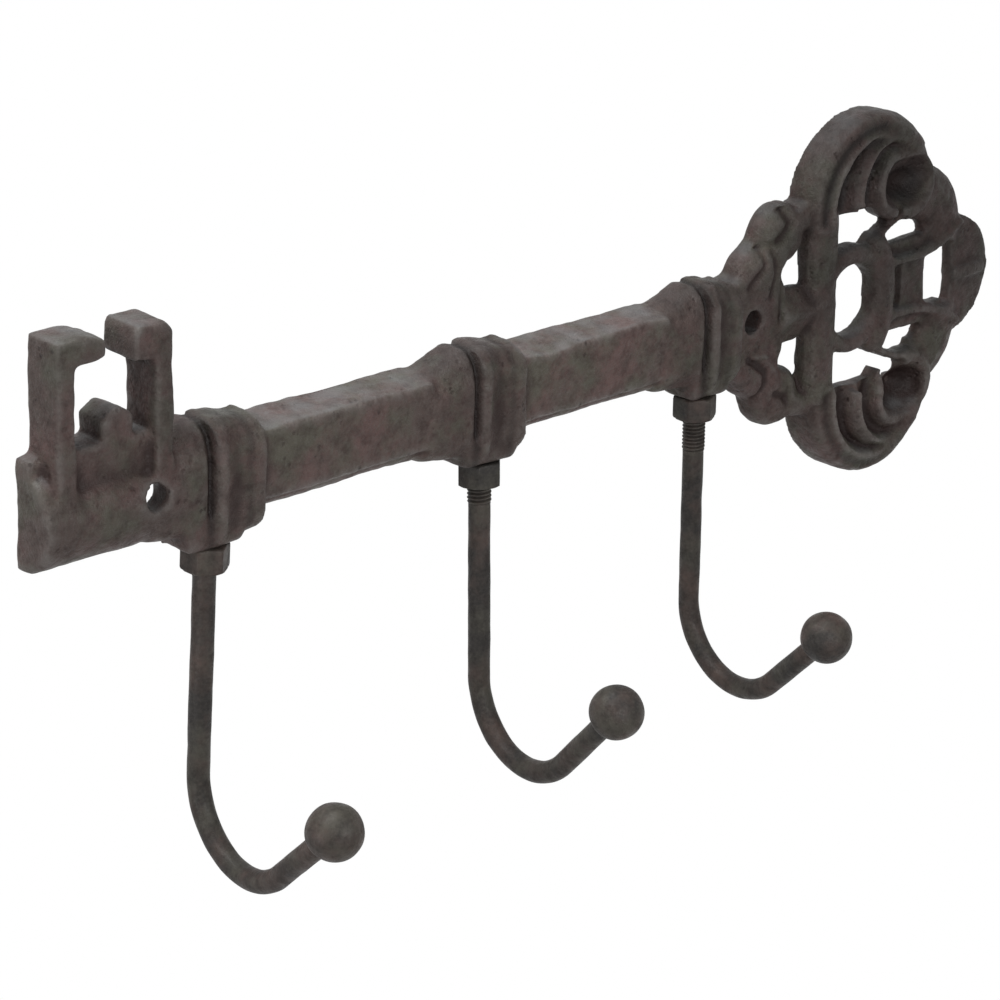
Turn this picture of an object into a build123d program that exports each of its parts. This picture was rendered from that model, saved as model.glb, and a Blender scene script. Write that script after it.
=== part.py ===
"""Key-shaped wall hook: an iron key, cast in half relief, with three screwed-in rod hooks.

Frame: the wall is the plane Y = 0 and the key stands out from it towards -Y, with +Z up.
The key lies along X, bit at -X and bow at +X, with its axis at Z = 0.
The origin is on the wall, midway between the two wall screws.
Heights are measured off the wall, towards the front.
"""
from build123d import *
import math
import os

# Wall screws
screw_spacing = 195.0
screw_hole_d = 6.4
screw_z = 1.6

# Barrel
barrel_end_x = -126.2
barrel_radius = 11.8
barrel_stilt = 1.0
barrel_edge = 0.8
barrel_wall = 4.0
barrel_end_wall = 5.0
barrel_pocket_half = 7.0

# Bit: two uprights whose arms reach for each other, on a plinth, with a round ward between
bit_left_x = -122.3
bit_right_x = -92.3
bit_top = 41.6
bit_depth = 11.2
plinth_top = 16.5
plinth_depth = 9.6
shoulder_top = 14.5
shoulder_depth = 5.0
upright_width = 4.8
arm_height = 6.0
arm_slope = 4.0
arm_drop = 1.8
left_arm_end = -109.6
head_left_x = -102.6
head_corner = 2.0
head_drop = 0.2
head_height = 8.0
head_proud = 0.6
ward_x = -105.8
ward_radius = 4.4
ward_top = 23.8
ward_depth = 9.6

# Shank: flat in front, with a broad top facet and a bevel below, hollow behind
shank_half = 11.2
shank_foot = 10.3
shank_depth = 11.0
shank_top_edge = 9.8
shank_low_edge = 6.4
shank_toe_depth = 6.0
shank_wall = 6.0
shank_pocket_half = 6.5
shank_pocket_margin = 2.0

# Collars: a bell, a groove and a ring with two rims, each with its own reach from the axis
groove_x = (-83.2, -3.4, 76.2)
bell_length = 13.0
bell_foot = (11.2, 11.4, 11.2)
bell_mouth = (13.4, 12.2, 12.6)
groove_width = 1.8
groove_floor = (12.2, 12.8, 11.0)
ring_width = (14.4, 14.8, 12.0)
first_rim = (15.6, 15.5, 13.4)
waist = (13.9, 14.4, 12.5)
last_rim = (12.9, 13.6, 12.8)
rim_width = 3.0
top_corner = 7.0
low_corner_y = 5.4
low_corner_z = 8.0
overlap = 1.0

# Pads under the collars, which give the nuts flat seats
pad_left = (8.4, 8.2, 5.8)
pad_right = 7.0
pad_depth = 12.0
pad_root_z = -7.0
pad_corner = 2.0

# Bow: openwork, set off the wall inside its outer rims, and twisted a little about the key's axis
bow_twist = -2.6
recess = 5.5
wide_band = 5.0
narrow_flat = 0.42
crown_shoulder = 0.74
crown_flat = 0.28
crown_rise = 0.62
scroll_x = 143.8
scroll_z = 26.0
scroll_radius = 24.3
scroll_width = 8.6
scroll_height = 12.8
scroll_crown = 4.0
scroll_from = 6.0
scroll_turn = 186.0
scroll_lean = 1.4
leaf_foot_z = 24.0
gap_x = 153.4
gap_z = 24.8
gap_width = 11.0
gap_length = 13.0
leaf_height = 9.8
rib_width = 4.8
rib_height = 12.4
rib_crown = 1.7
rib_x = 150.5
rib_z = 29.0
rib_radius = 14.4
rib_from = 40.0
rib_turn = 153.0
eye_x = 153.5
eye_z = 29.4
eye_radius = 8.0
eye_from = 50.0
eye_turn = 215.0
eye_width = 4.6
eye_long = 5.5
eye_dish_half = 7.2
eye_dish_depth = 4.5
curl_x = 158.6
curl_z = 28.4
curl_radius = 7.6
curl_from = -118.0
curl_turn = 165.0
curl_width = 4.6
curl_height = 12.2
lyre_axis_x = 124.2
lyre_side_x = 124.0
lyre_side_z = 9.0
lyre_width = 11.4
lyre_height = 12.2
lyre_crown = 3.2
loop_x = 136.0
loop_radius = 12.3
loop_width = 5.2
loop_height = 11.6
loop_crown = 2.0
stem_x = 146.0
stem_axis_x = 149.4
stem_half = 12.4
stem_width = 8.8
stem_height = 12.2
stem_crown = 2.4
sill_from = (146.2, 15.4)
sill_through = (151.6, 18.2)
sill_to = (158.6, 20.6)
sill_width = 2.4
sill_height = 10.8
petal_x = 163.0
petal_z = 13.0
petal_radius = 11.4
petal_width = 15.4
petal_height = 11.2
petal_crown = 3.2
petal_from = -16.0
petal_turn = 112.0
web_height = 9.2
web_left_x = 146.0
web_foot_z = 7.4
web_top_z = 12.6
bead_width = 3.0
bead_height = 11.8
bead_crown = 1.5
bead_z = 8.9
tip_x = 194.8
tip_inner_x = 178.8
tip_half = 16.6
tip_root_x = 177.2
tip_drop = 1.0
tip_height = 9.4
vein_width = 3.0
vein_height = 10.8
post_x = 161.6
post_width = 10.2
post_height = 10.0
neck_end_x = 109.2
neck_height = 9.6
clasp_half = 8.0
clasp_tip_half = 6.4
clasp_ridge = 11.6
clasp_shoulder = 8.0
knuckle_x = (100.4, 109.4)
knuckle_z = (13.1, 22.1)
knuckle_radius = (7.6, 8.6)
knuckle_height = (11.2, 10.8)
knuckle_crown = (4.2, 4.2)
link_width = 7.6
link_height = 10.4
link_crown = 3.0
link_rise = 1.2

# Hooks
hook_names = ("bit_end", "middle", "bow_end")
hook_x = (-79.9, 3.8, 79.8)
hook_drop = (57.1, 56.2, 57.4)
hook_turn = (-2.8, -3.9, -4.3)
hook_lean = (1.1, 0.4, -1.8)
hook_pitch = (1.5, -3.0, -0.6)
thread_below_nut = (1.0, 5.0, 9.4)
hook_stand_off = 6.4
rod_d = 5.5
thread_d = 6.0
thread_clearance = 0.05
bend_radius = 18.8
bend_angle = 136.4
stub_length = 27.4
seat_z = -15.1
seat_d = 19.0
seat_cut = 0.4
tapped_depth = 13.5
thread_engaged = 12.0

# Balls on the hooks' ends
ball_d = 13.2
ball_bore_depth = 6.0
ball_clearance = 0.05

# Lock nuts
nut_across_flats = 10.0
nut_height = 6.2
nut_chamfer = 1.0
nut_turn = (8.0, 20.0, 2.0)

hook_count = len(hook_names)
upward = (Align.CENTER, Align.CENTER, Align.MIN)
downward = (Align.CENTER, Align.CENTER, Align.MAX)
collar_start_x = [x - bell_length for x in groove_x]
collar_end_x = [x + groove_width + width for x, width in zip(groove_x, ring_width)]
arm_foot = bit_top - arm_height
head_top = bit_top - head_drop
head_depth = bit_depth + head_proud
scroll_path = scroll_radius - scroll_width / 2
pad_foot = seat_z - seat_cut
bow_room = (6 * scroll_radius, 2 * recess, 5 * scroll_radius)


def seen(*points):
    """A closed outline of straight lines, as seen from the front."""
    return make_face(Polyline(*points, close=True))


def raised(face, height, base=0.0):
    """A face seen from the front, raised from one height off the wall to another."""
    return extrude(Plane.XZ.offset(base) * face, amount=height - base)


def block(x0, x1, z0, z1, height, base=0.0):
    """A block given by its outline seen from the front."""
    return raised(Pos((x0 + x1) / 2, (z0 + z1) / 2) * Rectangle(x1 - x0, z1 - z0), height, base)


def crowned(width, height, crown, base):
    """A section with upright sides and a top rounded in flats: three if narrow, five if wide."""
    side = height - crown
    half = width / 2
    right = [(half, base), (half, side)]
    if width > wide_band:
        right.append((crown_shoulder * half, side + crown_rise * crown))
        right.append((crown_flat * half, height))
    else:
        right.append((narrow_flat * half, height))
    left = [(-x, y) for x, y in reversed(right)]
    return make_face(Polyline(*[(x, -y) for x, y in right + left], close=True))


def band(x, z, radius, width, height, crown, start, turn, base=0.0):
    """A crowned band along an arc seen from the front."""
    a = math.radians(start)
    seat = (x + radius * math.cos(a), 0, z + radius * math.sin(a))
    plane = Plane(origin=seat, x_dir=(math.cos(a), 0, math.sin(a)), z_dir=(-math.sin(a), 0, math.cos(a)))
    section = plane * crowned(width, height, crown, base)
    return revolve(section, axis=Axis((x, 0, z), (0, -1, 0)), revolution_arc=turn)


def band_through(start, middle, end, width, height, crown, base=0.0):
    """A crowned band along the arc through three places seen from the front."""
    (ax, az), (bx, bz), (cx, cz) = start, middle, end
    a2 = ax * ax + az * az
    b2 = bx * bx + bz * bz
    c2 = cx * cx + cz * cz
    d = 2 * (ax * (bz - cz) + bx * (cz - az) + cx * (az - bz))
    x = (a2 * (bz - cz) + b2 * (cz - az) + c2 * (az - bz)) / d
    z = (a2 * (cx - bx) + b2 * (ax - cx) + c2 * (bx - ax)) / d
    first = math.degrees(math.atan2(az - z, ax - x))
    half_way = math.degrees(math.atan2(bz - z, bx - x))
    last = math.degrees(math.atan2(cz - z, cx - x))
    turn = (last - first) % 360
    if (half_way - first) % 360 > turn:
        first = last
        turn = 360 - turn
    return band(x, z, math.hypot(ax - x, az - z), width, height, crown, first, turn, base)


def boss(x, z, radius, height, crown, base=0.0):
    """A round boss with a rounded top in flats."""
    side = height - crown
    outline = Polyline(
        (0, -base),
        (radius, -base),
        (radius, -side),
        (crown_shoulder * radius, -side - crown_rise * crown),
        (crown_flat * radius, -height),
        (0, -height),
        close=True,
    )
    return revolve(Pos(x, 0, z) * make_face(outline), axis=Axis((x, 0, z), (0, -1, 0)), revolution_arc=360)


def turned(outline, stilt):
    """A profile of X along the key and Z as radius, turned half round in front of straight sides."""
    face = make_face(outline)
    front = revolve(Plane.XZ.offset(stilt) * face, axis=Axis((0, -stilt, 0), (1, 0, 0)), revolution_arc=180)
    return front + raised(face, stilt) + raised(mirror(face, about=Plane.XZ), stilt)


def barrel():
    """The half-round barrel, with a broken edge at its end."""
    outline = Polyline(
        (barrel_end_x, 0),
        (barrel_end_x, barrel_radius - barrel_edge),
        (barrel_end_x + barrel_edge, barrel_radius),
        (groove_x[0] - overlap, barrel_radius),
        (groove_x[0] - overlap, 0),
        close=True,
    )
    return turned(outline, barrel_stilt)


def collar_face(over, under, depth):
    """A collar's section: flat behind, before and below, with a round corner above and a wider below."""
    slant = math.sqrt(0.5)
    top_y = depth - top_corner
    top_z = over - top_corner
    low_y = depth - low_corner_y
    low_z = under - low_corner_z
    top_middle = (-top_y - slant * top_corner, top_z + slant * top_corner)
    low_middle = (-low_y - slant * low_corner_y, -low_z - slant * low_corner_z)
    edges = [
        Line((0, -under), (-low_y, -under)),
        ThreePointArc((-low_y, -under), low_middle, (-depth, -low_z)),
        Line((-depth, -low_z), (-depth, top_z)),
        ThreePointArc((-depth, top_z), top_middle, (-top_y, over)),
        Line((-top_y, over), (0, over)),
        Line((0, over), (0, -under)),
    ]
    return make_face(Curve() + edges)


def stretch(face, x0, x1):
    """A section across the key carried straight along it."""
    return Pos(x0, 0, 0) * extrude(Plane.YZ * face, amount=x1 - x0)


def collar(i):
    """One collar, from the foot of its bell to the end of its ring."""
    x = groove_x[i]
    start = collar_start_x[i]
    ring = x + groove_width
    end = collar_end_x[i]
    foot = Plane.YZ.offset(start) * collar_face(*bell_foot)
    mouth = Plane.YZ.offset(x) * collar_face(*bell_mouth)
    return [
        loft([foot, mouth]),
        stretch(collar_face(*groove_floor), x - overlap, ring + overlap),
        stretch(collar_face(*first_rim), ring, ring + rim_width),
        stretch(collar_face(*waist), ring + overlap, end - overlap),
        stretch(collar_face(*last_rim), end - rim_width, end),
    ]


def pad(i):
    """The pad under a collar round the hole for its hook."""
    section = Polyline(
        (0, pad_root_z),
        (0, pad_foot),
        (pad_corner - pad_depth, pad_foot),
        (-pad_depth, pad_foot + pad_corner),
        (-pad_depth, pad_root_z),
        close=True,
    )
    return stretch(make_face(section), hook_x[i] - pad_left[i], hook_x[i] + pad_right)


def shank(x0, x1):
    """A length of the shank."""
    section = Polyline(
        (0, -shank_foot),
        (-shank_toe_depth, -shank_foot),
        (-shank_depth, -shank_low_edge),
        (-shank_depth, shank_top_edge),
        (0, shank_half),
        close=True,
    )
    return stretch(make_face(section), x0, x1)


def bit():
    """The ward frame on the barrel."""
    left = block(bit_left_x, bit_left_x + upright_width, 0, bit_top, bit_depth)
    arm = seen(
        (bit_left_x, arm_foot),
        (left_arm_end, arm_foot),
        (left_arm_end, bit_top - arm_drop),
        (left_arm_end - arm_slope, bit_top),
        (bit_left_x, bit_top),
    )
    right = block(bit_right_x - upright_width, bit_right_x, 0, arm_foot + overlap, head_depth)
    head = seen(
        (head_left_x, head_top - head_height),
        (bit_right_x, head_top - head_height),
        (bit_right_x, head_top - head_corner),
        (bit_right_x - head_corner, head_top),
        (head_left_x + head_corner, head_top),
        (head_left_x, head_top - head_corner),
    )
    plinth = block(bit_left_x, bit_right_x, 0, plinth_top, plinth_depth)
    ward = raised(Pos(ward_x, ward_top - ward_radius) * Circle(ward_radius), ward_depth)
    shoulder = block(barrel_end_x, bit_left_x + upright_width, 0, shoulder_top, shoulder_depth)
    return [left, raised(arm, bit_depth), right, raised(head, head_depth), plinth, shoulder, ward]


def leaf():
    """The fluted leaf inside a scroll, cut off level at its foot."""
    above = Pos(scroll_x, leaf_foot_z + scroll_radius) * Rectangle(3 * scroll_radius, 2 * scroll_radius)
    face = (Pos(scroll_x, scroll_z) * Circle(scroll_path)) & above
    return raised(face, leaf_height, recess)


def eye_dish():
    """The long hollow in a scroll's eye, a round-ended trough."""
    trough = (eye_dish_half**2 + eye_dish_depth**2) / (2 * eye_dish_depth)
    slant = trough / math.sqrt(2)
    edges = [
        Line((-trough, 0), (eye_long + trough, 0)),
        ThreePointArc((eye_long + trough, 0), (eye_long + slant, slant), (eye_long, trough)),
        Line((eye_long, trough), (0, trough)),
        ThreePointArc((0, trough), (-slant, slant), (-trough, 0)),
    ]
    solid = revolve(make_face(Curve() + edges), axis=Axis.X, revolution_arc=360)
    return Pos(eye_x, -(rib_height - eye_dish_depth + trough), eye_z) * solid


def scroll():
    """The upper C scroll: a thick outer rim, a fluted leaf, a long eye and the rim's curled end."""
    return [
        band(
            scroll_x, scroll_z, scroll_path, scroll_width, scroll_height, scroll_crown,
            scroll_from, scroll_turn,
        ),
        leaf(),
        raised(Pos(eye_x, eye_z) * Circle(eye_radius), leaf_height, recess),
        raised(Pos(curl_x, curl_z) * Circle(curl_radius), leaf_height, recess),
        band(rib_x, rib_z, rib_radius, rib_width, rib_height, rib_crown, rib_from, rib_turn, recess),
        band(eye_x, eye_z, eye_radius, eye_width, rib_height, rib_crown, eye_from, eye_turn, recess),
        band(curl_x, curl_z, curl_radius, curl_width, curl_height, rib_crown, curl_from, curl_turn, recess),
    ]


def petal():
    """The upper side petal, with its web to the stem and the bead along its lower edge."""
    web = seen(
        (web_left_x, web_foot_z),
        (tip_inner_x - bead_width, web_foot_z),
        (petal_x + petal_radius, web_top_z),
        (web_left_x, web_top_z),
    )
    outer = petal_radius + petal_width / 2
    bead_end = (petal_x + outer - bead_width / 2, petal_z + bead_width / 2)
    return [
        band(
            petal_x, petal_z, petal_radius, petal_width, petal_height, petal_crown,
            petal_from, petal_turn, recess,
        ),
        raised(web, web_height, recess),
        band_through(
            (web_left_x, bead_z), (petal_x + bead_width, bead_z - bead_width / 4), bead_end,
            bead_width, bead_height, bead_crown, recess,
        ),
    ]


def lyre():
    """The upper side of the lyre, from the scroll's rim in to the clasp."""
    top = (scroll_x - scroll_path, scroll_z)
    side = (lyre_side_x, lyre_side_z)
    return band_through(top, side, (lyre_axis_x, -overlap), lyre_width, lyre_height, lyre_crown, recess)


def knuckles():
    """The two round knuckles between the neck and the upper scroll, and the link to its rim."""
    bosses = []
    for i in range(len(knuckle_x)):
        place = (knuckle_x[i], knuckle_z[i], knuckle_radius[i])
        bosses.append(boss(*place, knuckle_height[i], knuckle_crown[i]))
    start = (knuckle_x[1], knuckle_z[1])
    end = (scroll_x - scroll_path, scroll_z)
    middle = ((start[0] + end[0]) / 2, (start[1] + end[1]) / 2 + link_rise)
    bosses.append(band_through(start, middle, end, link_width, link_height, link_crown))
    return bosses


def tip():
    """The end petal on the key's axis, with a vein along it."""
    outer = ThreePointArc((tip_root_x, tip_half), (tip_x, 0), (tip_root_x, -tip_half))
    inner = ThreePointArc((tip_root_x, -tip_half), (tip_inner_x, 0), (tip_root_x, tip_half))
    vein = block(tip_inner_x, tip_x - vein_width, -vein_width / 2, vein_width / 2, vein_height, recess)
    petals = [raised(make_face(Curve() + [outer, inner]), tip_height, recess), vein]
    return [Pos(0, 0, -tip_drop) * piece for piece in petals]


def clasp():
    """The ridged bar between the neck and the lyre, narrowing to the lyre."""
    sections = []
    for x, half in ((neck_end_x - overlap, clasp_half), (lyre_axis_x, clasp_tip_half)):
        outline = Polyline(
            (-recess, -half),
            (-clasp_shoulder, -half),
            (-clasp_ridge, 0),
            (-clasp_shoulder, half),
            (-recess, half),
            close=True,
        )
        sections.append(Plane.YZ.offset(x) * make_face(outline))
    return loft(sections)


def neck():
    """The plate that carries the bow-end screw, between the last collar and the bow."""
    root = collar_end_x[2] - overlap
    face = seen(
        (root, groove_floor[0]),
        (knuckle_x[0], knuckle_z[0] + knuckle_radius[0] / 2),
        (neck_end_x, knuckle_z[1]),
        (neck_end_x, -knuckle_z[1]),
        (knuckle_x[0], -knuckle_z[0] - knuckle_radius[0] / 2),
        (root, -groove_floor[1]),
    )
    return raised(face, neck_height)


def half_bow(shift):
    """The bow above the key's axis, with its scroll shifted along the key."""
    place = Pos(shift, 0, 0)
    half = Part() + [place * piece for piece in scroll()]
    half = half + petal() + lyre() + knuckles()
    return half - place * eye_dish()


def bow():
    """The openwork bow: two halves whose scrolls lean opposite ways, with a gap in the lower one."""
    upper = half_bow(-scroll_lean)
    lower = mirror(half_bow(scroll_lean), about=Plane.XY)
    lower -= raised(Pos(gap_x, -gap_z) * Ellipse(gap_width / 2, gap_length / 2), rib_height)
    sill = band_through(sill_from, sill_through, sill_to, sill_width, sill_height, rib_crown, recess)
    loop = band(loop_x, 0, loop_radius, loop_width, loop_height, loop_crown, 0, 360, recess)
    foot = (stem_x, -stem_half)
    top = (stem_x, stem_half)
    stem = band_through(foot, (stem_axis_x, 0), top, stem_width, stem_height, stem_crown, recess)
    end = stem_width / 2
    ends = [boss(stem_x, z, end, stem_height, stem_crown, recess) for z in (-stem_half, stem_half)]
    post = block(post_x - post_width / 2, post_x + post_width / 2, -bead_z, bead_z, post_height, recess)
    sills = [sill, mirror(sill, about=Plane.XY)]
    whole = upper + lower + loop + stem + ends + sills + post + clasp() + tip()
    behind = Pos(scroll_x, 0, 0) * Box(*bow_room, align=(Align.CENTER, Align.MIN, Align.CENTER))
    return Rot(bow_twist, 0, 0) * whole - behind + neck()


def casting():
    """The whole key, with its hollow back, screw holes, tapped holes and nut seats."""
    key = Part() + barrel() + bit()
    for i in range(hook_count):
        key += collar(i)
        key += pad(i)
    key += [shank(collar_end_x[i] - overlap, collar_start_x[i + 1] + overlap) for i in range(2)]
    key += bow()
    key -= block(
        barrel_end_x + barrel_end_wall, collar_start_x[0] + bell_length / 2,
        -barrel_pocket_half, barrel_pocket_half, barrel_radius - barrel_wall,
    )
    for i in range(2):
        key -= block(
            collar_end_x[i] + shank_pocket_margin, collar_start_x[i + 1] - shank_pocket_margin,
            -shank_pocket_half, shank_pocket_half, shank_depth - shank_wall,
        )
    for side in (-1, 1):
        hole = Pos(side * screw_spacing / 2, screw_z) * Circle(screw_hole_d / 2)
        key -= raised(hole, 2 * barrel_radius)
    for i in range(hook_count):
        key -= hook_frame(i) * Cylinder(thread_d / 2 + thread_clearance, tapped_depth, align=upward)
        key -= hook_frame(i) * Cylinder(seat_d / 2, first_rim[1], align=downward)
    return key


def ball_place(i):
    """The end of a hook's bend and its ball's middle, forward and up from the seat, and the bend angle."""
    a = math.radians(bend_angle)
    bend_end = (bend_radius * (1 - math.cos(a)), -hook_drop[i] - bend_radius * math.sin(a))
    middle = (bend_end[0] + stub_length * math.sin(a), bend_end[1] - stub_length * math.cos(a))
    return bend_end, middle, a


def hook_frame(i):
    """The place of a hook's rod at the seat, leaning and turned as the hook hangs."""
    lean = Rot(0, hook_lean[i], 0) * Rot(hook_pitch[i], 0, 0)
    return Pos(hook_x[i], -hook_stand_off, seat_z) * lean * Rot(0, 0, hook_turn[i])


def hook(i):
    """One rod hook: a thread, a straight drop, a bend and a stub that ends in its ball."""
    bend_end, a = ball_place(i)[::2]
    into_ball = stub_length - ball_d / 2 + ball_bore_depth
    thread_end = -nut_height - thread_below_nut[i]
    drop = Cylinder(rod_d / 2, hook_drop[i] + thread_end, align=downward)
    section = Plane(origin=(0, 0, -hook_drop[i]), z_dir=(0, 0, -1)) * Circle(rod_d / 2)
    bend_axis = Axis((0, -bend_radius, -hook_drop[i]), (1, 0, 0))
    bend = revolve(section, axis=bend_axis, revolution_arc=-bend_angle)
    stub_frame = Plane(origin=(0, -bend_end[0], bend_end[1]), z_dir=(0, -math.sin(a), -math.cos(a)))
    stub = stub_frame * Cylinder(rod_d / 2, into_ball, align=upward)
    rod = Pos(0, 0, thread_end) * drop + bend + stub
    thread = Cylinder(thread_d / 2, thread_engaged - thread_end, align=upward)
    return hook_frame(i) * (rod + Pos(0, 0, thread_end) * thread)


def ball(i):
    """The ball on a hook's end, bored for the rod."""
    bend_end, middle, a = ball_place(i)
    bore = Cylinder(rod_d / 2 + ball_clearance, ball_d, align=downward)
    bore = Pos(0, 0, ball_bore_depth - ball_d / 2) * bore
    solid = Sphere(ball_d / 2) - bore
    along = Plane(origin=(0, -middle[0], middle[1]), x_dir=(1, 0, 0), z_dir=(0, -math.sin(a), -math.cos(a)))
    return hook_frame(i) * (along * solid)


def lock_nut(i):
    """A hex nut against its collar, its lower corners turned off."""
    corner = nut_across_flats / math.sqrt(3)
    blank = extrude(RegularPolygon(corner, 6), amount=-nut_height)
    flat = nut_across_flats / 2
    profile = Polyline(
        (0, 0),
        (corner + nut_chamfer, 0),
        (corner + nut_chamfer, -nut_height + nut_chamfer),
        (flat, -nut_height),
        (0, -nut_height),
        close=True,
    )
    turned_corners = revolve(Plane.XZ * make_face(profile), axis=Axis.Z, revolution_arc=360)
    bore = Cylinder(thread_d / 2 + thread_clearance, 3 * nut_height)
    return hook_frame(i) * Rot(0, 0, nut_turn[i]) * ((blank & turned_corners) - bore)


def main():
    os.makedirs("parts", exist_ok=True)
    export_step(casting(), "parts/key_casting.step")
    for i, name in enumerate(hook_names):
        export_step(hook(i), f"parts/hook_{name}.step")
    export_step(Compound(children=[ball(i) for i in range(hook_count)]), "parts/ball_ends.step")
    export_step(Compound(children=[lock_nut(i) for i in range(hook_count)]), "parts/lock_nuts.step")


main()
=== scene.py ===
"""Key-shaped wall hook rack: the cast key, its rod hooks, balls and nuts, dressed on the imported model.

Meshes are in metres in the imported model's frame: the wall is Y = 0, the rack stands out towards -Y, +Z is
up and +X runs along the key from its bit to its bow. The sizes and places named in capitals are in
millimetres and degrees, unless they say otherwise.
"""

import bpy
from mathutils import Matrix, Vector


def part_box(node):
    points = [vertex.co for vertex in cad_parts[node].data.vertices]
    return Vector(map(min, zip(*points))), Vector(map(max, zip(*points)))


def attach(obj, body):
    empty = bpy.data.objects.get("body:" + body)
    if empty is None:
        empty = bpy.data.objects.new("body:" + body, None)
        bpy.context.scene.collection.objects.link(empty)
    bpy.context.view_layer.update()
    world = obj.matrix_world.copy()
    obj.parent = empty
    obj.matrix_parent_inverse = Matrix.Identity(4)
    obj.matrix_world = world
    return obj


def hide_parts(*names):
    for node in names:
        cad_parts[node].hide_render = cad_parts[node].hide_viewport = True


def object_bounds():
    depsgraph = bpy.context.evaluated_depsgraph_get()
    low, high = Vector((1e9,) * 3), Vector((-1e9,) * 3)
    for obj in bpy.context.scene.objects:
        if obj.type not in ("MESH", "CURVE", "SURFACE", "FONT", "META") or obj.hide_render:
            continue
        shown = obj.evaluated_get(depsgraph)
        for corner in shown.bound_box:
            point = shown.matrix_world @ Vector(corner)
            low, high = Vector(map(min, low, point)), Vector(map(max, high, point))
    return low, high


bl_info = {
    "name": "Key wall hook rack",
    "version": (1, 0, 0),
    "blender": (4, 5, 0),
    "location": "View3D > Sidebar > Key rack",
    "description": "Builds the visual model of a cast iron key-shaped wall hook rack",
    "category": "Object",
}

import math
from collections import namedtuple

import bpy
import numpy as np
from bpy.props import FloatProperty, FloatVectorProperty, IntProperty, PointerProperty
from mathutils import Matrix, Vector

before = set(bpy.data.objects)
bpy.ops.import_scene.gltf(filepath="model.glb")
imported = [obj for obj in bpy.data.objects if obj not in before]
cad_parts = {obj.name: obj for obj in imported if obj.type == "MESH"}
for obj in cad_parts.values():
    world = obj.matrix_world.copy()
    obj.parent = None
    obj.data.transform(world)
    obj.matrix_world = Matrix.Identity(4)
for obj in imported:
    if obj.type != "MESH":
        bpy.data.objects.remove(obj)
cad_low, cad_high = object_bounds()

MM = 0.001
# How far every piece keeps inside its node's box, in metres
TINY = 1e-6
SIDEWAYS = np.array([1.0, 0.0, 0.0])
# How a ripple's height grows with its length, and the size of all ripples together
RIPPLE_POWER = 0.7
RIPPLE_SIZE = 0.6

Hook = namedtuple("Hook", "x lean pitch turn drop bare_thread nut_turn")
Collar = namedtuple("Collar", "groove ring")
Shank = namedtuple("Shank", "left right tone")
Line = namedtuple("Line", "places half depth")
Arc = namedtuple("Arc", "x z radius half depth")
Band = namedtuple("Band", "share shift half tone")
Lamp = namedtuple("Lamp", "setting size place target")

# Hooks: place along the key, lean, pitch, turn, drop to the bend, thread under the nut, turn of the nut
HOOKS = {
    "bit_end": Hook(-79.9, 1.1, 1.5, -2.8, 57.1, 1.0, 8.0),
    "middle": Hook(3.8, 0.4, -3.0, -3.9, 56.2, 5.0, 20.0),
    "bow_end": Hook(79.8, -1.8, -0.6, -4.3, 57.4, 9.4, 2.0),
}
SEAT_Y = -6.4
SEAT_Z = -15.1
THREAD_INSIDE = 12.0
INTO_BALL = 6.0

# Rods: steps round and along them, where the thread is stepped finely, and lumps, with waves in metres
ROD_AROUND = 48
PITCH_STEPS = 10
DROP_STEPS = 24
BEND_STEPS = 56
STUB_STEPS = 12
THREAD_ABOVE = 1.5
THREAD_PAST = 1.2
PLAIN_PAST = 1.6
THREAD_FADE = 0.8
CREST_POWER = 0.7
# How far the thread's crests are worn lighter and its roots given a painted shade
CREST_WEAR_AND_SHADE = 0.9
ROD_SEED = 20
ROD_WAVES = (16 * MM, 4 * MM)
ROD_LUMPS = 0.07

# Balls: steps round and along, the neck's share of the rod, the pole's angle in radians, lumps as above
BALL_AROUND = 72
BALL_STEPS = 44
BALL_NECK = 0.95
BALL_POLE = 0.02
BALL_SEED = 40
BALL_WAVES = (11 * MM, 4 * MM)
BALL_LUMPS = 0.06

# Nuts: rings on the seat and the foot as shares of the flats, depths along the flanks, chamfers
NUT_AROUND = 96
NUT_SEAT = (0.80, 0.965)
NUT_FOOT = 0.90
NUT_BITE = 0.3
FLANK_TOP = 0.25
FLANK_RUN = (0.7, 1.3)
FLANK_STEPS = 5
FLANK_FOOT = (0.8, 0.35, 0.08)
BORE_CHAMFER = (0.7, 0.5)
CONE_SLOPE = 1.6
CONE_TOP = 0.1
CONE_FOOT = 0.02

# Shanks between the collars: ends, and how much lighter the coat is painted there, as painted light
SHANKS = (Shank(-67.0, -16.4, 0.32), Shank(13.2, 63.2, 0.46))
SHANK_FADE = (-4.0, 4.0, -2.0, 6.0)
# Forged waves on the shanks: seed, longest and shortest in metres, count, and where they start, fill and end
FORGED_WAVES = (11, 46 * MM, 13 * MM, 12)
FORGED_UP = (3.0, 8.0)
FORGED_OUT = (2.0, 8.0)
FORGED_TOP = 13.0
FORGED_FADE = 6.0

# Collars: where each groove starts along the key, and how far past it the collar ends
COLLARS = (Collar(-83.2, 14.4), Collar(-3.4, 14.8), Collar(76.2, 12.0))
COLLAR_FADE = (-15.0, -11.0, -0.5, 1.5)
# A collar's top as cast: a bell, a groove, a first rim, a hollow and a last rim
BELL_LENGTH = 13.0
BELL_FOOT = 11.2
BELL_TOP = 13.4
GROOVE_WIDTH = 1.8
GROOVE_FLOOR = 12.2
RIM_END = 4.8
RIM_TOP = 15.6
HOLLOW_FLOOR = 13.9
LAST_RIM = 2.6
LAST_TOP = 12.9
STEP = 0.01
# The same top as shown: it rises over the bell, falls to the collar's end and has a soft groove
RISE = 4.1
RISE_END = 1.0
FALL = 2.2
FALL_START = 4.5
SOFT_GROOVE = 0.9
SOFT_GROOVE_HALF = 1.0
# Heights between which a collar's top is reshaped, and the most that a point sinks there
LIFTED = (4.5, 11.0)
LIFTED_TOP = 17.0
MOST_SUNK = 2.2
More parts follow.
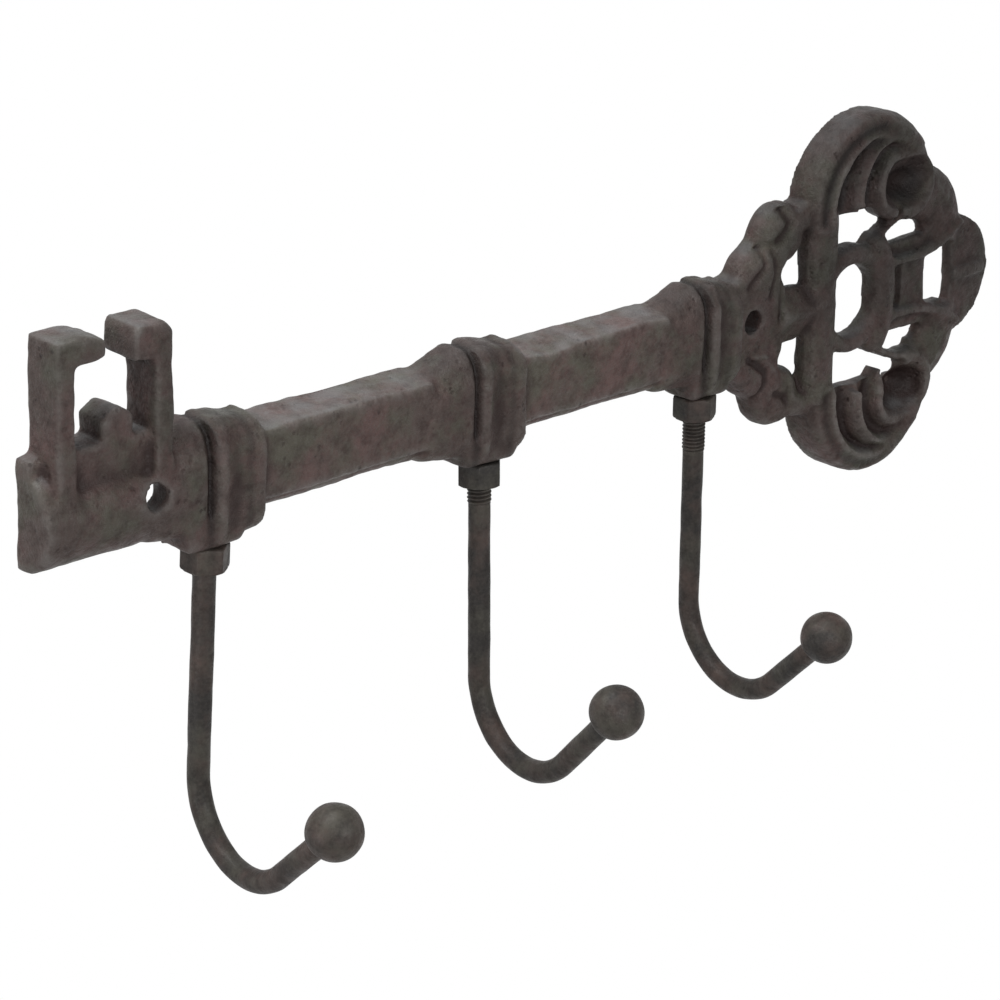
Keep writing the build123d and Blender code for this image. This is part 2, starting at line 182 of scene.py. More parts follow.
# Lines down a collar's front: the groove, and the hollow between its rims
GROOVE_REACH = (15.0, -11.0)
GROOVE_HALF = 1.1
GROOVE_CUT = 0.55
HOLLOW_REACH = (13.0, -9.5)
HOLLOW_SIDES = (4.4, 2.2)
HOLLOW_SHARE = 0.24
HOLLOW_LESS = 1.0
HOLLOW_CUT = 0.9
# Where collars are evened: over and under them, and along their grooves
HUMPS_OVER = (9.0, 11.5)
HUMPS_UNDER = (-8.5, -10.5)
HUMPS_LIMIT = 18.0
GROOVE_EVENED = (3.2, 1.6)
GROOVE_EVENING = 0.8

# The bit: the ward's peak, the sunk ground round the barrel's hole, and the corners that are evened
WARD_X = -105.8
WARD_FOOT = 19.4
WARD_RADIUS = 4.4
WARD_HALF = 4.6
WARD_PEAK = 24.2
WARD_SLOPE = 0.62
WARD_LEAST = 0.2
HOLE_X = -97.5
HOLE_Z = 1.6
HOLE_GROUND = (7.5, 5.0)
HOLE_DEPTHS = (-12.4, -8.2)
HOLE_SUNK = 1.7
HOLE_BACK = -5.0
HEADS_X = (-86.0, -90.0)
HEADS_Z = (14.0, 18.0)
BARREL_END_X = (-115.0, -119.0)
BARREL_END_Z = (2.0, 6.0)

# The neck: where its knuckles are evened, and how they are flattened
NECK_X = (88.0, 93.0, 110.0, 114.0)
NECK_Z = (8.0, 11.0)
KNUCKLES_X = (90.0, 113.0)
KNUCKLES_Z = 9.0
KNUCKLES_FRONT = -9.4
KNUCKLES_KEPT = 0.35

# The bow: middles and half sizes of the eyes, their floor, and the lower scroll's shift along the key
EYES = ((155.4, 29.0), (158.2, -29.0))
EYE_HALF_X = 8.6
EYE_HALF_Z = 6.4
EYE_FLOOR = -4.6
EYE_RISE = 6.0
EYE_BACK = -2.5
LOWER_SCROLL = 2.8
# Flutes of the upper scroll, mirrored in the lower one, and crests, whose depth is below zero
FLUTES = (
    Arc(142.4, 26.0, 20.8, 1.3, 0.9),
    Arc(142.4, 26.0, 18.3, 0.8, -0.9),
    Arc(146.0, 27.5, 15.9, 1.9, 0.8),
    Arc(149.1, 28.5, 13.6, 0.8, -0.8),
    Arc(150.0, 28.8, 10.1, 1.7, 0.8),
    Arc(152.1, 29.4, 8.0, 0.8, -0.7),
)
FLUTES_X = (149.0, 143.0)
FLUTES_Z = (21.5, 24.0)
FLUTES_PAST = 0.3
FLUTES_DEPTH = 1.2

# Lines cut into the neck and the shanks, or raised where the depth is below zero: places in X and Z
FOLDS = (
    Line(((100.5, 20.0), (101.0, 16.0), (95.0, 11.0)), 0.9, 1.3),
    Line(((104.0, 19.0), (105.5, 14.0), (103.5, 7.0)), 0.9, 1.2),
    Line(((108.5, 13.0), (107.5, 7.0), (108.0, 0.5)), 0.9, 1.0),
    Line(((108.5, 29.5), (110.5, 25.5), (106.0, 21.5)), 1.5, 1.8),
    Line(((96.0, 21.5), (99.5, 20.5), (103.5, 21.0)), 1.0, 0.9),
    Line(((96.5, -8.5), (103.0, -13.5), (103.5, -17.0), (100.5, -20.5)), 1.0, 1.5),
    Line(((102.0, -9.0), (107.0, -14.0), (108.0, -17.5), (105.0, -20.5)), 0.8, -0.6),
    Line(((107.0, -20.0), (110.5, -21.5), (113.5, -24.5)), 1.1, 1.2),
    Line(((-66.0, -7.6), (-17.0, -7.6)), 0.8, 0.8),
    Line(((14.0, -7.6), (63.0, -7.6)), 0.8, 0.8),
)
# Where the front starts that is cut, and how far a face turns to the front to be cut
FRONT_Y = -6.0
FACING = (0.15, 0.6)

# The casting's surface: weld, steps of evening, ripples as seed and longest and shortest wave in metres
WELD = 0.002
NECK_STEPS = 48
COLLAR_STEPS = 14
BIT_STEPS = 9
LONG_WAVES = (3, 34 * MM, 9 * MM)
SHORT_WAVES = (5, 7 * MM, 2.4 * MM)
SHORT_SHARE = 0.4
# Fine and broad relief: the coat wears the ridges lighter and paints shade into hollows and creases
RIDGE_STEPS = 14
RIDGE_DEPTH = 0.55
HOLLOW_STEPS = 120
HOLLOW_DEPTH = 1.4
RELIEF_SHARE = 0.6
RELIEF_STEPS = 2

# The coat's painted light and shade over the casting, and its dust with a painted sheen, as shares of its
# colour
# Painted shade over the upper bow, where less light reaches, and painted bounce light at its foot
BOW_X = (92.0, 116.0)
BOW_Z = (-24.0, 4.0)
BOW_FOOT_TONE = 0.16
BOW_DARKER = 0.46
COLLAR_DARKER = 0.22
COLLAR_DARKER_Z = (8.0, 11.0)
BANDS_LIMIT = 17.0
# Bands on a collar, painted shade in its groove and in the hollow before its last rim, and painted highlights
# on its rims: share of its ring and shift past that, half width and how much lighter
BANDS = (
    Band(0, 0.9, 1.2, -0.55),
    Band(0, 3.4, 1.0, 0.16),
    Band(1, -2.8, 0.9, -0.30),
    Band(1, -0.8, 0.8, 0.14),
)
# Painted shade in the flutes and the eyes, and painted highlights on the flutes' crests, only on faces
# towards the front
FLUTES_DARKER = 0.45
EYE_DARKER = 0.35
EYE_SHADE = (1.0, 0.6)
TONED_FRONT = (-4.0, -7.0)
# Dust with a painted sheen on faces that look up, kept partly off the collars: slopes, share off the collars,
# colour
DUST_AND_SHEEN_SLOPES = (0.55, 0.95)
DUST_AND_SHEEN_OFF_COLLARS = 0.65
DUST_AND_SHEEN_COLOUR = (0.105, 0.107, 0.108)

# The coat's layers, in waves to the metre
RUST_SCALE = 62
GREY_SCALE = 78
CLOUD_SCALE = 330
SAND_SCALE = 1250
FINE_SCALE = 3000
PIT_SCALE = 520
PITTED_SCALE = 190
DUST_AND_SHEEN_SCALE = 140
# The finishes: pitting, depth of the bump in metres, specular level
CAST_FINISH = (1.0, 0.40 * MM, 0.16)
ROD_FINISH = (0.35, 0.14 * MM, 0.17)

# The Mix node's sockets for colours
MIX_FACTOR, MIX_A, MIX_B, MIX_RESULT = 0, 6, 7, 2

# Lamps: the setting with their power, then size, place and target in metres
LAMPS = {
    "top_lamp": Lamp("key_power", 0.35, (-0.25, 0.08, 0.50), (-0.08, 0, 0)),
    "front_lamp": Lamp("front_power", 0.25, (-0.10, -0.42, 0.10), (-0.03, 0, 0)),
    "side_lamp": Lamp("side_power", 0.12, (-0.30, -0.04, -0.05), (-0.11, 0, 0)),
}
WHITE = (1, 1, 1, 1)
# The floor, in metres
FLOOR_REACH = 6.0
FLOOR_COLOUR = (0.8, 0.8, 0.8, 1)
FLOOR_ROUGHNESS = 0.9
# The camera: where it looks, its shift from there in its own plane, its sensor, and its near limit in metres
CAMERA_AIM = (1.5, -8.0, 27.22)
CAMERA_RIGHT = 4.16791
CAMERA_UP = -48.11629
CAMERA_SENSOR = 36.0
CAMERA_NEAR = 0.05


class CastingSettings(bpy.types.PropertyGroup):
    """Sizes and colours of the cast key."""

    grain: FloatProperty(
        name="Grain", description="Size of the facets that the cast surface starts from", default=0.62 * MM,
        unit="LENGTH")
    faces: IntProperty(
        name="Faces", description="Most triangles in the cast key", default=190000, min=1000)
    filling: IntProperty(
        name="Filling", description="How far inner corners are filled, as in a mould", default=4,
        min=0, max=60)
    wear: FloatProperty(
        name="Wear", description="How much outer edges are worn for each step of filling", default=0.22,
        min=0, max=1)
    waviness: FloatProperty(
        name="Waviness", description="Height of the hand-worked unevenness", default=0.20 * MM, unit="LENGTH")
    forging: FloatProperty(
        name="Forging", description="Height of the waves along the shank's upper edge", default=0.55 * MM,
        unit="LENGTH")
    # A dark colour for patches and pits, and the painted shade in hollows and creases
    dark: FloatVectorProperty(
        name="Hollows", description="Colour of the hollows", subtype="COLOR",
        default=(0.016, 0.009, 0.008))
    body: FloatVectorProperty(
        name="Body", description="Main colour of the coat", subtype="COLOR",
        default=(0.050, 0.0365, 0.0325))
    rust: FloatVectorProperty(
        name="Rust", description="Colour of the rusty patches", subtype="COLOR",
        default=(0.070, 0.041, 0.038))
    moss: FloatVectorProperty(
        name="Grey", description="Colour of the greenish grey patches", subtype="COLOR",
        default=(0.046, 0.046, 0.034))
    worn: FloatVectorProperty(
        name="Worn", description="Colour of the worn ridges", subtype="COLOR",
        default=(0.090, 0.082, 0.077))


class HookSettings(bpy.types.PropertyGroup):
    """Sizes and colours of the rod hooks, their balls and nuts."""

    rod_radius: FloatProperty(
        name="Rod radius", description="Radius of the plain rod", default=2.75 * MM, unit="LENGTH")
    thread_radius: FloatProperty(
        name="Thread radius", description="Radius over the thread's crests", default=3.0 * MM, unit="LENGTH")
    thread_depth: FloatProperty(
        name="Thread depth", description="Depth of the thread", default=0.55 * MM, unit="LENGTH")
    thread_pitch: FloatProperty(
        name="Thread pitch", description="Distance from crest to crest", default=1.0 * MM, unit="LENGTH")
    bend_radius: FloatProperty(
        name="Bend radius", description="Radius of the bend along the rod's middle", default=18.8 * MM,
        unit="LENGTH")
    bend_angle: FloatProperty(
        name="Bend angle", description="How far the rod is bent", default=math.radians(136.4),
        subtype="ANGLE")
    stub_length: FloatProperty(
        name="Stub length", description="From the end of the bend to the ball's middle", default=27.4 * MM,
        unit="LENGTH")
    ball_radius: FloatProperty(
        name="Ball radius", description="Radius of the balls", default=6.6 * MM, unit="LENGTH")
    nut_flats: FloatProperty(
        name="Nut flats", description="Width of the nuts across their flats", default=10.0 * MM,
        unit="LENGTH")
    nut_height: FloatProperty(
        name="Nut height", description="Height of the nuts", default=6.2 * MM, unit="LENGTH")
    # A dark colour for patches and pits, and the painted shade in the thread's roots
    dark: FloatVectorProperty(
        name="Hollows", description="Colour of scratches and thread roots", subtype="COLOR",
        default=(0.009, 0.007, 0.006))
    body: FloatVectorProperty(
        name="Body", description="Main colour of the coat", subtype="COLOR",
        default=(0.020, 0.018, 0.017))
    rust: FloatVectorProperty(
        name="Rust", description="Colour of the rusty patches", subtype="COLOR",
        default=(0.068, 0.047, 0.040))
    moss: FloatVectorProperty(
        name="Grey", description="Colour of the greenish grey patches", subtype="COLOR",
        default=(0.050, 0.047, 0.038))
    worn: FloatVectorProperty(
        name="Worn", description="Colour of rubbed places", subtype="COLOR",
        default=(0.075, 0.068, 0.060))


class StageSettings(bpy.types.PropertyGroup):
    """The floor, the light and the camera's angle."""

    floor_drop: FloatProperty(
        name="Floor drop", description="How far the floor lies under the rack", default=0.25, unit="LENGTH")
    ambient: FloatProperty(name="Ambient", description="Strength of the light from all round", default=0.10)
    key_power: FloatProperty(
        name="Top light", description="Power of the large lamp overhead", default=4.7, unit="POWER")
    front_power: FloatProperty(
        name="Front light", description="Power of the lamp before the shank", default=1.5, unit="POWER")
    side_power: FloatProperty(
        name="Side light", description="Power of the lamp at the bit's side", default=0.22, unit="POWER")
    turn: FloatProperty(
        name="Turn", description="Camera's turn about the vertical", default=math.radians(44.0027),
        subtype="ANGLE")
    height: FloatProperty(
        name="Height", description="Camera's angle over the horizon", default=math.radians(21.7111),
        subtype="ANGLE")
    roll: FloatProperty(
        name="Roll", description="Camera's tilt about its line of sight", default=math.radians(2.0893),
        subtype="ANGLE")
    lens: FloatProperty(name="Lens", description="Focal length in millimetres", default=108.136)
    distance: FloatProperty(
        name="Distance", description="From the camera to the rack's middle plane", default=708.499 * MM,
        unit="LENGTH")


class RackSettings(bpy.types.PropertyGroup):
    """All settings of the rack."""

    casting: PointerProperty(type=CastingSettings)
    hooks: PointerProperty(type=HookSettings)
    stage: PointerProperty(type=StageSettings)


def rack():
    """The rack's settings in this scene."""
    return bpy.context.scene.key_rack


# Shapes of numbers

def ramp(low, high, value):
    """A straight step from 0 at one value to 1 at another."""
    return np.clip((value - low) / (high - low), 0, 1)


def eased(low, high, value):
    """A smooth step from 0 at one value to 1 at another."""
    t = ramp(low, high, value)
    return t * t * (3 - 2 * t)


def between(value, start, full, last, end):
    """A smooth step up from start to full, and down again from last to end."""
    return eased(start, full, value) * eased(end, last, value)


def bell(distance, half):
    """A bell curve of a distance: 1 in its middle, about a third at the half width."""
    return np.exp(-((distance / half) ** 2))


def ripples(points, seed, longest, shortest, count=28):
    """Smooth unevenness, near -1 to 1: a weighted sum of sine waves of seeded direction, length and phase."""
    rng = np.random.default_rng(seed)
    ways = rng.normal(size=(count, 3))
    ways /= np.linalg.norm(ways, axis=1, keepdims=True)
    lengths = shortest * (longest / shortest) ** rng.random(count)
    phases = rng.random(count) * 2 * math.pi
    weights = (lengths / longest) ** RIPPLE_POWER
    waves = np.sin(points @ (ways * (2 * math.pi / lengths)[:, None]).T + phases)
    return waves @ weights / math.sqrt(0.5 * (weights**2).sum()) * RIPPLE_SIZE


def off_line(x, z, places):
    """Each point's distance, seen from the front, from a line through several places."""
    best = np.full(len(x), np.inf)
    for (ax, az), (bx, bz) in zip(places, places[1:]):
        along = (x - ax) * (bx - ax) + (z - az) * (bz - az)
        t = np.clip(along / ((bx - ax) ** 2 + (bz - az) ** 2), 0, 1)
        best = np.minimum(best, np.hypot(x - ax - t * (bx - ax), z - az - t * (bz - az)))
    return best


# Meshes as arrays

def new_mesh(name, points, faces):
    """A mesh from arrays of points and faces."""
    mesh = bpy.data.meshes.new(name)
    mesh.from_pydata(points, [], faces)
    mesh.validate()
    return mesh


def read_points(mesh):
    """A mesh's points as an array."""
    points = np.empty(len(mesh.vertices) * 3, np.float32)
    mesh.vertices.foreach_get("co", points)
    return points.reshape(-1, 3).astype(float)


def write_points(mesh, points):
    """Puts an array of points into a mesh."""
    mesh.vertices.foreach_set("co", points.astype(np.float32).ravel())
    mesh.update()


def read_normals(mesh):
    """A mesh's point normals as an array."""
    normals = np.empty(len(mesh.vertices) * 3, np.float32)
    mesh.vertex_normals.foreach_get("vector", normals)
    return normals.reshape(-1, 3).astype(float)


def read_edges(mesh):
    """A mesh's edges as pairs of point numbers."""
    edges = np.empty(len(mesh.edges) * 2, np.int32)
    mesh.edges.foreach_get("vertices", edges)
    return edges.reshape(-1, 2)


def store(mesh, name, values):
    """Puts one value for each point into a mesh attribute."""
    attribute = mesh.attributes.new(name, "FLOAT", "POINT")
    attribute.data.foreach_set("value", values.astype(np.float32))


def evened(values, edges, steps, share=0.5):
    """Values moved by a share towards the mean of their neighbours, step by step."""
    count = len(values)
    degree = np.bincount(edges.ravel(), minlength=count).astype(float)
    degree[degree == 0] = 1
    columns = values.reshape(count, -1)
    for _ in range(steps):
        total = np.stack([
            np.bincount(edges[:, 0], column[edges[:, 1]], count)
            + np.bincount(edges[:, 1], column[edges[:, 0]], count)
            for column in columns.T], 1)
        columns = columns + share * (total / degree[:, None] - columns)
    return columns.reshape(values.shape)


def modified(mesh, *steps):
    """A new mesh from a mesh put through modifiers, each given as its kind and its settings."""
    scratch = bpy.data.objects.new("scratch", mesh)
    bpy.context.scene.collection.objects.link(scratch)
    for kind, settings in steps:
        step = scratch.modifiers.new(kind, kind)
        for name, value in settings.items():
            setattr(step, name, value)
    made = bpy.data.meshes.new_from_object(scratch.evaluated_get(bpy.context.evaluated_depsgraph_get()))
    bpy.data.objects.remove(scratch)
    return made


def tube(rings, first=0):
    """Faces that join equal closed rings of points in order, numbered from the first point."""
    count, around = rings.shape[:2]
    i = np.arange(count - 1)[:, None] * around
    j = np.arange(around)[None, :]
    k = (j + 1) % around
    quads = np.stack([i + j, i + k, i + around + k, i + around + j], -1).reshape(-1, 4)
    return quads + first


def capped(rings, first=0):
    """A closed tube from rings: its points, and its faces with two caps, numbered from the first point."""
    ring = np.arange(rings.shape[1]) + first
    last = ring + (rings.shape[0] - 1) * rings.shape[1]
    return rings.reshape(-1, 3), tube(rings, first).tolist() + [ring[::-1].tolist(), last.tolist()]


def put_piece(name, mesh, material, nodes):
    """A shown piece from a finished mesh: kept in its nodes' box, smooth, with its finish and its place."""
    boxes = np.array([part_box(node) for node in nodes])
    low, high = boxes[:, 0].min(0) + TINY, boxes[:, 1].max(0) - TINY
    write_points(mesh, np.clip(read_points(mesh), low, high))
    mesh.polygons.foreach_set("use_smooth", np.ones(len(mesh.polygons), bool))
    mesh.materials.clear()
    mesh.materials.append(material)
    mesh.update()
    piece = bpy.data.objects.new(name, mesh)
    bpy.context.scene.collection.objects.link(piece)
    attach(piece, "root")
    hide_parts(*nodes)


# Finishes

def group(name, given, made):
    """A new shader node group from the kinds and names of its sockets, with its input and output nodes."""
    tree = bpy.data.node_groups.new(name, "ShaderNodeTree")
    for way, sockets in (("INPUT", given), ("OUTPUT", made)):
        for kind, names in sockets.items():
            for socket in names:
                tree.interface.new_socket(socket, in_out=way, socket_type=kind)
    return tree, tree.nodes.new("NodeGroupInput"), tree.nodes.new("NodeGroupOutput")


def noise(tree, vector, scale, detail, rough=0.55):
    """A noise texture on a vector, at a number of waves to the metre."""
    node = tree.nodes.new("ShaderNodeTexNoise")
    node.inputs["Scale"].default_value = scale
    node.inputs["Detail"].default_value = detail
    node.inputs["Roughness"].default_value = rough
    tree.links.new(vector, node.inputs["Vector"])
    return node.outputs["Fac"]


def ranged(tree, value, low, high, start=0.0, end=1.0):
    """A value stretched from one range to another and held there."""
    node = tree.nodes.new("ShaderNodeMapRange")
    node.inputs["From Min"].default_value = low
    node.inputs["From Max"].default_value = high
    node.inputs["To Min"].default_value = start
    node.inputs["To Max"].default_value = end
    tree.links.new(value, node.inputs["Value"])
    return node.outputs["Result"]


def reckoned(tree, kind, a, b):
    """Two values put together by a kind of arithmetic; either may be a plain number."""
    node = tree.nodes.new("ShaderNodeMath")
    node.operation = kind
    for socket, value in zip(node.inputs, (a, b)):
        if isinstance(value, (int, float)):
            socket.default_value = value
        else:
            tree.links.new(value, socket)
    return node.outputs[0]


def times(tree, a, b):
    """The product of two values."""
    return reckoned(tree, "MULTIPLY", a, b)


def plus(tree, a, b):
    """The sum of two values."""
    return reckoned(tree, "ADD", a, b)


def mixed(tree, factor, a, b):
    """Two colours mixed by a value."""
    node = tree.nodes.new("ShaderNodeMix")
    node.data_type = "RGBA"
    for socket, value in ((MIX_FACTOR, factor), (MIX_A, a), (MIX_B, b)):
        tree.links.new(value, node.inputs[socket])
    return node.outputs[MIX_RESULT]


def pitted(tree, vector, pitting):
    """A mask of small round pits: cells' distances turned over, kept only in patches."""
    cells = tree.nodes.new("ShaderNodeTexVoronoi")
    cells.inputs["Scale"].default_value = PIT_SCALE
    tree.links.new(vector, cells.inputs["Vector"])
    pits = ranged(tree, cells.outputs["Distance"], 0.08, 0.36, 1.0, 0.0)
    patches = ranged(tree, noise(tree, vector, PITTED_SCALE, 3), 0.50, 0.66)
    return times(tree, times(tree, pits, patches), pitting)


def iron_coat_group():
    """The coat on the iron, from Object coordinates: a colour, a roughness and a height.

    Noises stretched to masks lay rust, grey, clouds and speckles over the body colour, then worn ridges,
    painted shade in hollows and creases, pits, and dust with a painted sheen on faces that look up. The
    painted light and shade make all of it lighter or darker. Sand, clouds and pits are the height.
    """
    tree, given, made = group(
        "iron_coat",
        {
            "NodeSocketVector": ("Vector",),
            "NodeSocketFloat": ("Relief", "Hollow", "Tone", "Dust", "Pitting"),
            "NodeSocketColor": ("Dusty", "Hollows", "Body", "Rust", "Grey", "Worn"),
        },
        {"NodeSocketColor": ("Color",), "NodeSocketFloat": ("Roughness", "Height")},
    )
    give = given.outputs
    vector = give["Vector"]
    rusty = ranged(tree, noise(tree, vector, RUST_SCALE, 6, 0.62), 0.42, 0.60)
    greys = ranged(tree, noise(tree, vector, GREY_SCALE, 6, 0.60), 0.46, 0.62)
    clouds = ranged(tree, noise(tree, vector, CLOUD_SCALE, 5, 0.62), 0.34, 0.66)
    sand = noise(tree, vector, SAND_SCALE, 3, 0.6)
    fine = noise(tree, vector, FINE_SCALE, 2, 0.5)
    pits = pitted(tree, vector, give["Pitting"])

    colour = mixed(tree, times(tree, rusty, 0.75), give["Body"], give["Rust"])
    colour = mixed(tree, times(tree, greys, 0.80), colour, give["Grey"])
    colour = mixed(tree, ranged(tree, clouds, 0.0, 0.7, 0.52, 0.0), colour, give["Hollows"])
    colour = mixed(tree, ranged(tree, sand, 0.40, 0.72, 0.0, 0.22), colour, give["Worn"])
    ridge = ranged(tree, give["Relief"], 0.10, 0.75)
    ridge = times(tree, ridge, ranged(tree, clouds, 0.0, 1.0, 0.20, 0.80))
    colour = mixed(tree, ridge, colour, give["Worn"])
    # Painted shade in creases from the fine relief, and broader painted shade in hollows from the broad
    # relief, like ambient occlusion
    colour = mixed(tree, ranged(tree, give["Relief"], -0.55, -0.04, 0.85, 0.0), colour, give["Hollows"])
    colour = mixed(tree, ranged(tree, give["Hollow"], -0.60, -0.03, 0.90, 0.0), colour, give["Hollows"])
    colour = mixed(tree, times(tree, pits, 0.75), colour, give["Hollows"])
    # Dust with a painted sheen, in patches on faces that look up
    dust_and_sheen_patches = ranged(tree, noise(tree, vector, DUST_AND_SHEEN_SCALE, 4), 0.36, 0.64, 0.08, 0.56)
    colour = mixed(tree, times(tree, give["Dust"], dust_and_sheen_patches), colour, give["Dusty"])
    # Painted light and shade scale the colour lighter or darker
    lighter = tree.nodes.new("ShaderNodeVectorMath")
    lighter.operation = "SCALE"
    tree.links.new(colour, lighter.inputs["Vector"])
    tree.links.new(plus(tree, give["Tone"], 1.0), lighter.inputs["Scale"])

    rough = ranged(tree, plus(tree, clouds, times(tree, sand, 0.8)), 0.2, 1.4, 0.66, 0.42)
    height = plus(tree, times(tree, sand, 0.55), times(tree, fine, 0.22))
    height = plus(tree, height, times(tree, clouds, 0.40))
    height = reckoned(tree, "SUBTRACT", height, times(tree, pits, 0.9))
    tree.links.new(lighter.outputs["Vector"], made.inputs["Color"])
    tree.links.new(rough, made.inputs["Roughness"])
    tree.links.new(height, made.inputs["Height"])
    return tree


def iron_finish(name, settings, pitting, bump, specular):
    """A finish of coated iron on Object coordinates, with the piece's attributes for wear, painted light and
    shade, and dust with a painted sheen.
    """
    material = bpy.data.materials.new(name)
    material.use_nodes = True
    tree = material.node_tree
    shader = tree.nodes["Principled BSDF"]
    where = tree.nodes.new("ShaderNodeTexCoord")
    coat = tree.nodes.new("ShaderNodeGroup")
    coat.node_tree = bpy.data.node_groups.get("iron_coat") or iron_coat_group()
    tree.links.new(where.outputs["Object"], coat.inputs["Vector"])
    for socket in ("Relief", "Hollow", "Tone", "Dust"):
        value = tree.nodes.new("ShaderNodeAttribute")
        value.attribute_name = socket.lower()
        tree.links.new(value.outputs["Fac"], coat.inputs[socket])
    colours = {
        "Hollows": settings.dark, "Body": settings.body, "Rust": settings.rust,
        "Grey": settings.moss, "Worn": settings.worn, "Dusty": DUST_AND_SHEEN_COLOUR,
    }
    for socket, colour in colours.items():
        coat.inputs[socket].default_value = (*colour, 1.0)
    coat.inputs["Pitting"].default_value = pitting
    bumped = tree.nodes.new("ShaderNodeBump")
    bumped.inputs["Strength"].default_value = 1.0
    bumped.inputs["Distance"].default_value = bump
    tree.links.new(coat.outputs["Height"], bumped.inputs["Height"])
    tree.links.new(coat.outputs["Color"], shader.inputs["Base Color"])
    tree.links.new(coat.outputs["Roughness"], shader.inputs["Roughness"])
    tree.links.new(bumped.outputs["Normal"], shader.inputs["Normal"])
    shader.inputs["Specular IOR Level"].default_value = specular
    return material


def cast_coat():
    """The casting's finish."""
    return iron_finish("cast_iron_coat", rack().casting, *CAST_FINISH)


def rod_coat():
    """The finish of rods, balls and nuts, made the first time it is asked for."""
    return bpy.data.materials.get("rod_coat") or iron_finish("rod_coat", rack().hooks, *ROD_FINISH)


# The cast key

def on_collars(x):
    """1 along the collars, 0 elsewhere."""
    start, full, last, end = COLLAR_FADE
    return sum(between(x - groove, start, full, ring + last, ring + end) for groove, ring in COLLARS)


def neck_lobes(points):
    """The share of evening on the neck's knuckles, which makes soft lobes of them."""
    x, _, z = (points / MM).T
    return between(x, *NECK_X) * eased(*NECK_Z, np.abs(z))


def collar_humps(points):
    """The share of evening on the collars' tops and along their grooves."""
    x, y, z = (points / MM).T
    tops = on_collars(x) * np.maximum(eased(*HUMPS_OVER, z) * (z < HUMPS_LIMIT), eased(*HUMPS_UNDER, z))
    grooves = sum(eased(*GROOVE_EVENED, np.abs(x - groove - GROOVE_WIDTH / 2)) for groove, _ in COLLARS)
    grooves = grooves * (y < FRONT_Y) * (np.abs(z) < HUMPS_LIMIT)
    return np.maximum(tops, GROOVE_EVENING * grooves)


def bit_corners(points):
    """The share of evening on the bit's heads, its ward and the barrel's end."""
    x, _, z = (points / MM).T
    heads = eased(*HEADS_X, x) * eased(*HEADS_Z, z)
    return np.maximum(heads, eased(*BARREL_END_X, x) * eased(*BARREL_END_Z, z))


def soften(mesh, share, steps):
    """Evens out a mesh's points where the share is above zero."""
    points = read_points(mesh)
    write_points(mesh, points + share[:, None] * (evened(points, read_edges(mesh), steps) - points))


def collar_top(t, ring):
    """A collar's height at a distance past its groove's start: as cast, in steps, and as shown, smoothly."""
    cast = np.interp(
        t,
        (-BELL_LENGTH, 0, STEP, GROOVE_WIDTH, GROOVE_WIDTH + STEP, RIM_END, RIM_END + STEP,
         ring - LAST_RIM, ring - LAST_RIM + STEP, ring),
        (BELL_FOOT, BELL_TOP, GROOVE_FLOOR, GROOVE_FLOOR, RIM_TOP, RIM_TOP, HOLLOW_FLOOR,
         HOLLOW_FLOOR, LAST_TOP, LAST_TOP))
    shown = BELL_FOOT + RISE * eased(-BELL_LENGTH, RISE_END, t) - FALL * eased(FALL_START, ring, t)
    return cast, shown - SOFT_GROOVE * bell(t - GROOVE_WIDTH / 2, SOFT_GROOVE_HALF)


def humped(x, z):
    """Heights with the collars' tops carried from the cast profile to the shown one, less so lower down."""
    high = z.copy()
    for groove, ring in COLLARS:
        t = x - groove
        cast, shown = collar_top(t, ring)
        on = (t > -BELL_LENGTH) & (t < ring) & (z > LIFTED[0]) & (z < LIFTED_TOP)
        lifted = np.minimum(z + (shown - cast) * eased(*LIFTED, z), np.maximum(shown, z - MOST_SUNK))
        high = np.where(on, lifted, high)
    return high


def peaked(x, z):
    """How far the ward's points rise to make a roof of its round top, the more the higher they are."""
    across = x - WARD_X
    roof = WARD_PEAK - WARD_SLOPE * np.abs(across)
    on_ward = (np.abs(across) < WARD_HALF) & (z > WARD_FOOT)
    round_top = WARD_FOOT + np.sqrt(np.clip(WARD_RADIUS**2 - across**2, WARD_LEAST**2, None))
    return np.where(on_ward, (roof - round_top) * ramp(WARD_FOOT, round_top, z), 0)


def in_eyes(x, z):
    """Each point's place in the nearer eye, from 0 in its middle to 1 at its edge and more outside."""
    return np.min([np.hypot((x - ex) / EYE_HALF_X, (z - ez) / EYE_HALF_Z) for ex, ez in EYES], axis=0)


def fluting(x, z):
    """The depth of both scrolls' flutes, below zero on crests: bell curves of the distance from each arc."""
    x, z = np.where(z > 0, x, x - LOWER_SCROLL), np.abs(z)
    depths = np.zeros_like(x)
    for arc in FLUTES:
        off = np.hypot(x - arc.x, z - arc.z) - arc.radius
        depths += arc.depth * bell(off, arc.half) * (x < arc.x + FLUTES_PAST * arc.radius)
    return depths * eased(*FLUTES_Z, z) * eased(*FLUTES_X, x)


def collar_lines():
    """The lines down each collar's front: its groove, and the hollow between its rims."""
    lines = []
    for groove, ring in COLLARS:
        first = groove + GROOVE_WIDTH / 2
        middle = groove + (HOLLOW_SIDES[0] + ring - HOLLOW_SIDES[1]) / 2
        lines.append(Line([(first, z) for z in GROOVE_REACH], GROOVE_HALF, GROOVE_CUT))
        half = HOLLOW_SHARE * ring - HOLLOW_LESS
        lines.append(Line([(middle, z) for z in HOLLOW_REACH], half, HOLLOW_CUT))
    return lines


